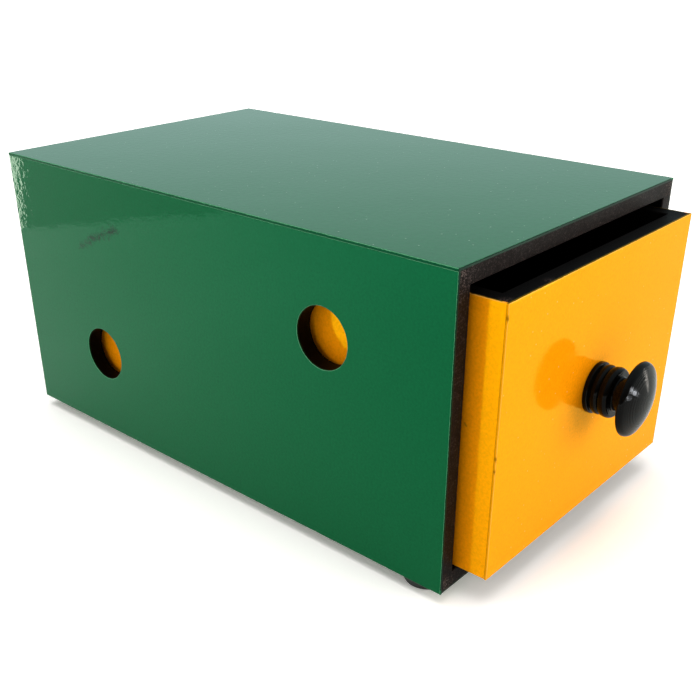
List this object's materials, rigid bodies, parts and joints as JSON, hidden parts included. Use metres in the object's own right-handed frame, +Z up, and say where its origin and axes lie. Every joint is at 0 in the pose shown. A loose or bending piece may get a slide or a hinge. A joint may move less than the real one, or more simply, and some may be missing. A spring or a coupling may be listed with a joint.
{
  "type": "wooden drawer box",
  "caption": "Open-fronted box of thin boards faced with glossy laminate, with sight holes in its sides, holding an open-topped drawer with a turned knob.",
  "frame": {"origin": "on the surface that the box stands on, under the middle of the whole object at rest, with its drawer 13.2 mm open", "axes": "+Z up; the drawer opens towards -Y and the knob points that way; +X to the right of someone who looks along +Y at the drawer's front"},
  "size_m": [0.156, 0.2922, 0.132],
  "materials": {
    "green_laminate": "glossy green laminate sheet",
    "orange_laminate": "glossy orange laminate sheet",
    "black_painted_board": "thin board with satin black paint",
    "black_knob": "black lacquer on turned wood",
    "rubber": "black rubber",
    "steel": "plain steel"
  },
  "bodies": {
    "case": {"case_top_panel": "black_painted_board", "case_bottom_panel": "black_painted_board", "case_left_panel": "black_painted_board", "case_right_panel": "black_painted_board", "case_back_panel": "black_painted_board", "case_top_laminate": "green_laminate", "case_left_laminate": "green_laminate", "case_right_laminate": "green_laminate", "case_back_laminate": "green_laminate", "case_bottom_laminate": "green_laminate", "foot_front_left": "rubber", "foot_front_right": "rubber", "foot_back_left": "rubber", "foot_back_right": "rubber", "foot_screws": "steel", "case_panel_pins": "steel"},
    "drawer": {"drawer_front_panel": "black_painted_board", "drawer_back_panel": "black_painted_board", "drawer_bottom_panel": "black_painted_board", "drawer_left_side": "black_painted_board", "drawer_right_side": "black_painted_board", "drawer_front_laminate": "orange_laminate", "drawer_back_laminate": "orange_laminate", "drawer_left_laminate": "orange_laminate", "drawer_right_laminate": "orange_laminate", "knob": "black_knob", "knob_washer": "steel", "knob_screw": "steel", "drawer_panel_pins": "steel"}
  },
  "joints": [
    {"name": "drawer_slide", "type": "slide", "parent": "case", "child": "drawer", "axis": [0, -1, 0], "range_m": [-0.0132, 0.2]}
  ]
}
